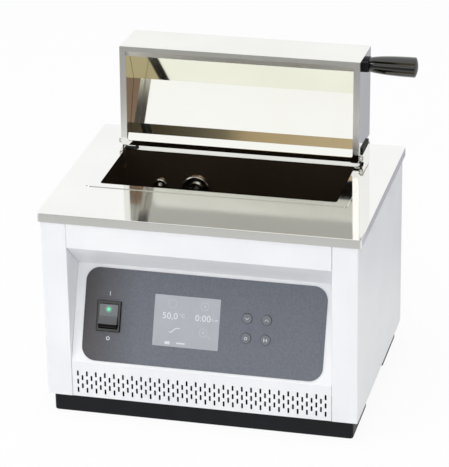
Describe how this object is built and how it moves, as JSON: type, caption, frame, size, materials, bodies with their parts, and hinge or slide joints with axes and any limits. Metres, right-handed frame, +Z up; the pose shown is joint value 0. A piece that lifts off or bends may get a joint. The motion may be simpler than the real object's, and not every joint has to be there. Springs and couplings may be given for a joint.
{
  "type": "laboratory water bath",
  "caption": "Bench water bath: white casing on a black plinth, polished top with a rectangular tank, tall hinged lid with a side grip, sloping control face with display, keys and mains rocker.",
  "frame": {"origin": "on the bench, under the middle of the whole bath, grip and nozzle included", "axes": "+X to the right seen from the front, +Y to the back, +Z up; the lid is open"},
  "size_m": [0.3586, 0.2724, 0.3476],
  "materials": {
    "polished_steel": "mirror-polished stainless sheet",
    "white_paint": "smooth satin powder coat",
    "plain_steel": "plain sheet",
    "black_moulding": "fine grain",
    "gloss_black": "glossy",
    "inlet_black": "moulded",
    "membrane_grey": "printed foil",
    "clear_window": "clear",
    "display_grey": "lit screen",
    "key_plastic": "glossy",
    "rocker_plastic": "glossy",
    "lamp_green": "clear green",
    "circuit_board": "solder mask",
    "black_rubber": "soft",
    "fastener_steel": "zinc plated",
    "brass_spacer": "plain",
    "insulation_foam": "closed-cell foam",
    "silicone_mat": "silicone",
    "fitting_steel": "turned",
    "cutout_ceramic": "ceramic",
    "transformer_core": "laminated",
    "heat_sink": "extruded",
    "ribbon_grey": "ribbed"
  },
  "bodies": {
    "bath": {"board_screws": "fastener_steel", "board_standoffs": "brass_spacer", "bottom_plate": "plain_steel", "bottom_plate_screws": "fastener_steel", "bracket_screws": "fastener_steel", "control_board": "circuit_board", "control_membrane": "membrane_grey", "display_module": "display_grey", "display_window": "clear_window", "foot_pads": "black_rubber", "front_panel": "white_paint", "heater_mat": "silicone_mat", "heater_relay": "heat_sink", "hinge_bracket_left": "polished_steel", "hinge_bracket_right": "polished_steel", "hinge_pin_left": "fastener_steel", "hinge_pin_right": "fastener_steel", "inlet_screws": "fastener_steel", "insulation_jacket": "insulation_foam", "mains_inlet": "inlet_black", "overflow_fitting": "fitting_steel", "overflow_nut": "fastener_steel", "overflow_pipe": "fitting_steel", "overheat_cutout": "cutout_ceramic", "plinth_front": "black_moulding", "plinth_rear": "black_moulding", "plinth_screws": "fastener_steel", "power_board": "circuit_board", "power_board_screws": "fastener_steel", "power_board_spacers": "brass_spacer", "probe_nut": "fastener_steel", "rear_panel": "white_paint", "rear_panel_screws": "fastener_steel", "ribbon_cable": "ribbon_grey", "side_panel_left": "white_paint", "side_panel_right": "white_paint", "switch_housing": "gloss_black", "tank": "polished_steel", "temperature_probe": "fitting_steel", "top_plate": "polished_steel", "transformer": "transformer_core"},
    "lid": {"lid_shell": "polished_steel", "lid_liner": "polished_steel", "lid_insulation": "insulation_foam", "hinge_block_left": "black_moulding", "hinge_block_right": "black_moulding", "lid_stop_left": "black_rubber", "lid_stop_right": "black_rubber", "handle_block": "black_moulding", "handle_grip": "gloss_black", "handle_screw": "fastener_steel"},
    "rocker": {"power_rocker": "rocker_plastic", "rocker_lens": "lamp_green"},
    "down_button": {"down_button": "key_plastic"},
    "up_button": {"up_button": "key_plastic"},
    "select_button": {"select_button": "key_plastic"},
    "menu_button": {"menu_button": "key_plastic"}
  },
  "joints": [
    {"name": "lid_hinge", "type": "hinge", "parent": "bath", "child": "lid", "pos_m": [-0.0093, 0.0559, 0.238], "axis": [1, 0, 0], "range_deg": [0, 92.5]},
    {"name": "power_rocker_tilt", "type": "hinge", "parent": "bath", "child": "rocker", "pos_m": [-0.1113, -0.11551, 0.10935], "axis": [1, 0, 0], "range_deg": [0, 18]},
    {"name": "down_button_press", "type": "slide", "parent": "bath", "child": "down_button", "axis": [0, 0.9329, -0.3601], "range_m": [0, 0.001], "stiffness_N_per_m": 600, "springref_m": -0.0005},
    {"name": "up_button_press", "type": "slide", "parent": "bath", "child": "up_button", "axis": [0, 0.9329, -0.3601], "range_m": [0, 0.001], "stiffness_N_per_m": 600, "springref_m": -0.0005},
    {"name": "select_button_press", "type": "slide", "parent": "bath", "child": "select_button", "axis": [0, 0.9329, -0.3601], "range_m": [0, 0.001], "stiffness_N_per_m": 600, "springref_m": -0.0005},
    {"name": "menu_button_press", "type": "slide", "parent": "bath", "child": "menu_button", "axis": [0, 0.9329, -0.3601], "range_m": [0, 0.001], "stiffness_N_per_m": 600, "springref_m": -0.0005}
  ]
}
